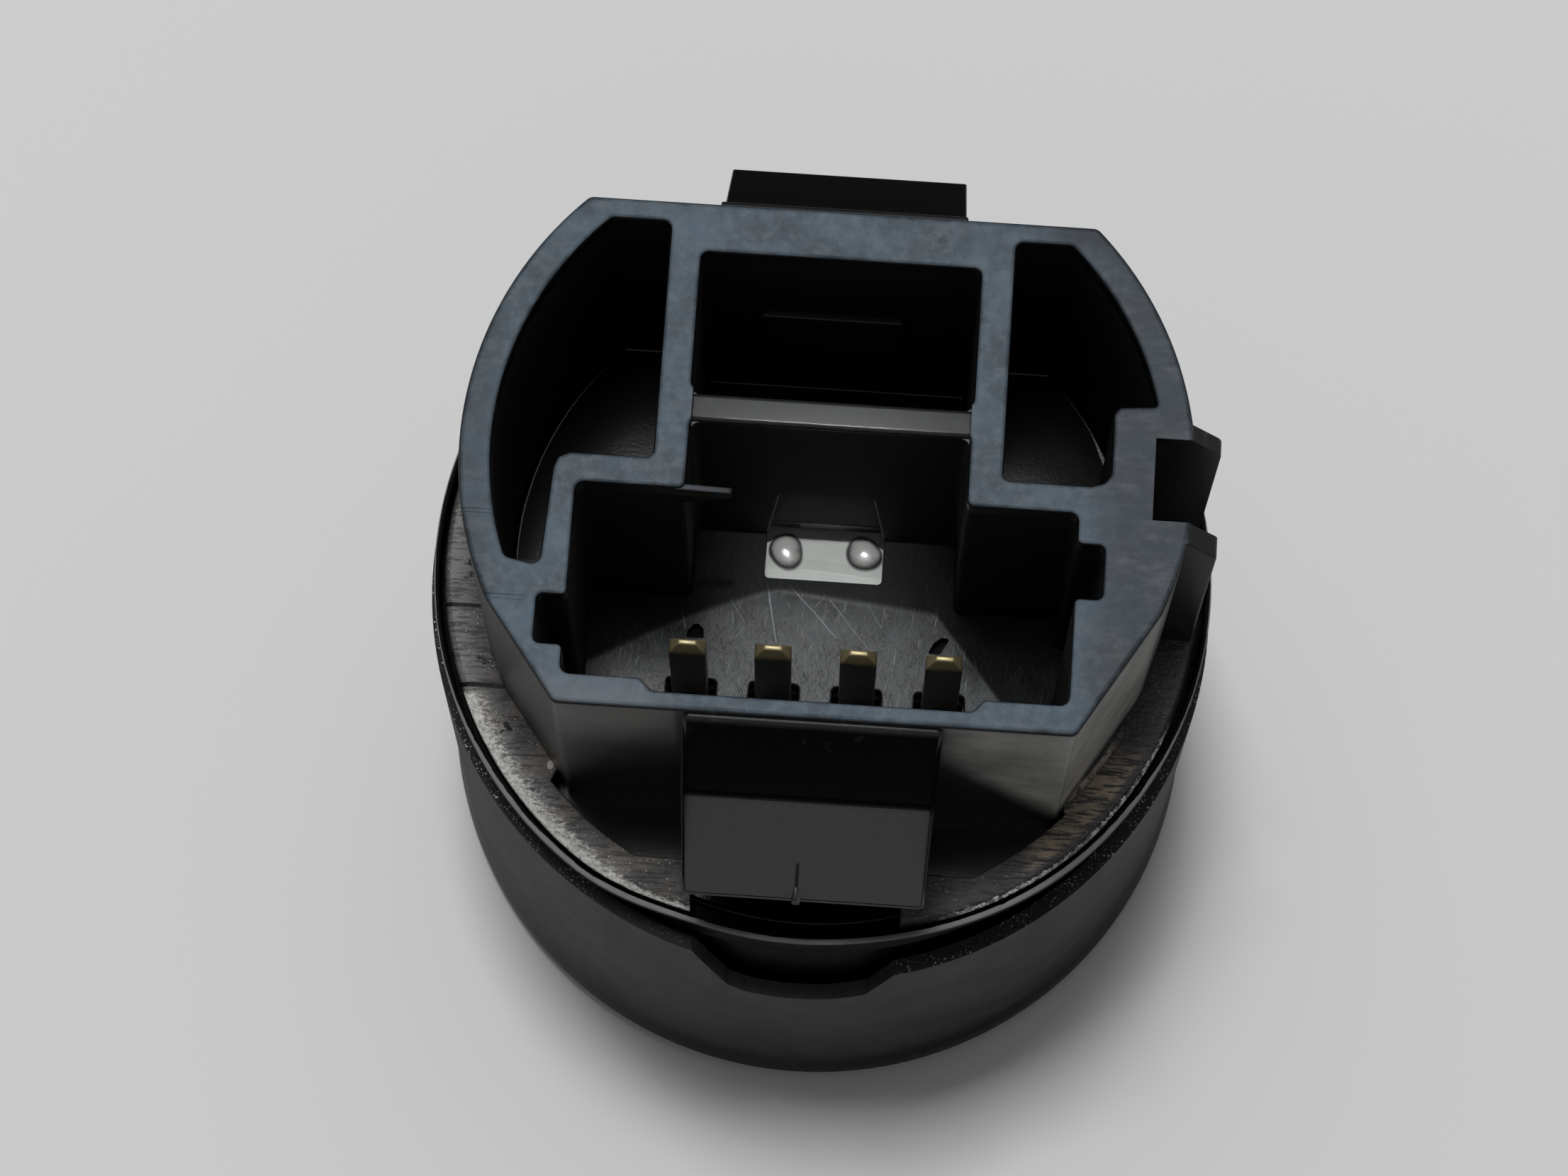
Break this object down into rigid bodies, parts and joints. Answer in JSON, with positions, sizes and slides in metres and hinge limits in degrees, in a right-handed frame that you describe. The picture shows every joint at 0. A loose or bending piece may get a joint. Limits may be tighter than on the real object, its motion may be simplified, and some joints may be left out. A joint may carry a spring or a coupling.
{
  "type": "push button switch",
  "caption": "Round on-off push button switch, shown from the rear: smooth sleeve, disc, snap arms and a tower with a connector socket; a sprung, lit button at the front.",
  "frame": {"origin": "centre of the front face's rest plane", "axes": "+Z along the push axis from the button to the connector, -Y towards the notch in the sleeve, +X towards the guide ribs"},
  "size_m": [0.034, 0.034, 0.0394],
  "materials": {
    "sleeve": "moulded black, satin to semi-gloss",
    "bezel": "moulded black, fine matte",
    "body": "moulded black, semi-gloss",
    "cover": "moulded black, satin, lightly scuffed on the rim",
    "board": "white solder mask on glass laminate",
    "blade": "plated, dark shank with a gold tip",
    "solder": "bright solder",
    "contact_housing": "moulded black",
    "contact_plate": "pressed sheet steel",
    "plunger": "moulded ivory",
    "lamp": "phosphor resin",
    "tunnel": "moulded white",
    "chip": "black film on ceramic",
    "capacitor": "brown ceramic",
    "cap": "moulded black, soft matte",
    "lens": "milky, polished front",
    "diffuser": "milky, frosted",
    "slider": "moulded natural white",
    "spring": "drawn spring wire"
  },
  "bodies": {
    "switch_body": {"outer_sleeve": "sleeve", "bezel_ring": "bezel", "inner_body": "body", "rear_cover": "cover", "circuit_board": "board", "terminal_1": "blade", "terminal_2": "blade", "terminal_3": "blade", "terminal_4": "blade", "solder_mound_left": "solder", "solder_mound_right": "solder", "contact_housing_left": "contact_housing", "contact_housing_right": "contact_housing", "contact_cover_left": "contact_plate", "contact_cover_right": "contact_plate", "lamp_left": "lamp", "lamp_right": "lamp", "light_tunnel": "tunnel", "resistor_1": "chip", "resistor_2": "chip", "resistor_3": "chip", "capacitor_1": "capacitor", "return_spring_left": "spring", "return_spring_right": "spring"},
    "button": {"button_cap": "cap", "button_lens": "lens", "light_diffuser": "diffuser", "button_slider": "slider"},
    "plunger_left": {"contact_plunger_left": "plunger"},
    "plunger_right": {"contact_plunger_right": "plunger"}
  },
  "joints": [
    {"name": "button_press", "type": "slide", "parent": "switch_body", "child": "button", "axis": [0, 0, 1], "range_m": [0, 0.0013], "stiffness_N_per_m": 600, "springref_m": -0.002, "deforming": ["return_spring_left", "return_spring_right"]},
    {"name": "plunger_left_press", "type": "slide", "parent": "switch_body", "child": "plunger_left", "axis": [0, 0, 1], "range_m": [0, 0.0013]},
    {"name": "plunger_right_press", "type": "slide", "parent": "switch_body", "child": "plunger_right", "axis": [0, 0, 1], "range_m": [0, 0.0013]}
  ],
  "couplings": [
    {"joint": "plunger_left_press", "follows": "button_press", "ratio": 1},
    {"joint": "plunger_right_press", "follows": "button_press", "ratio": 1}
  ]
}
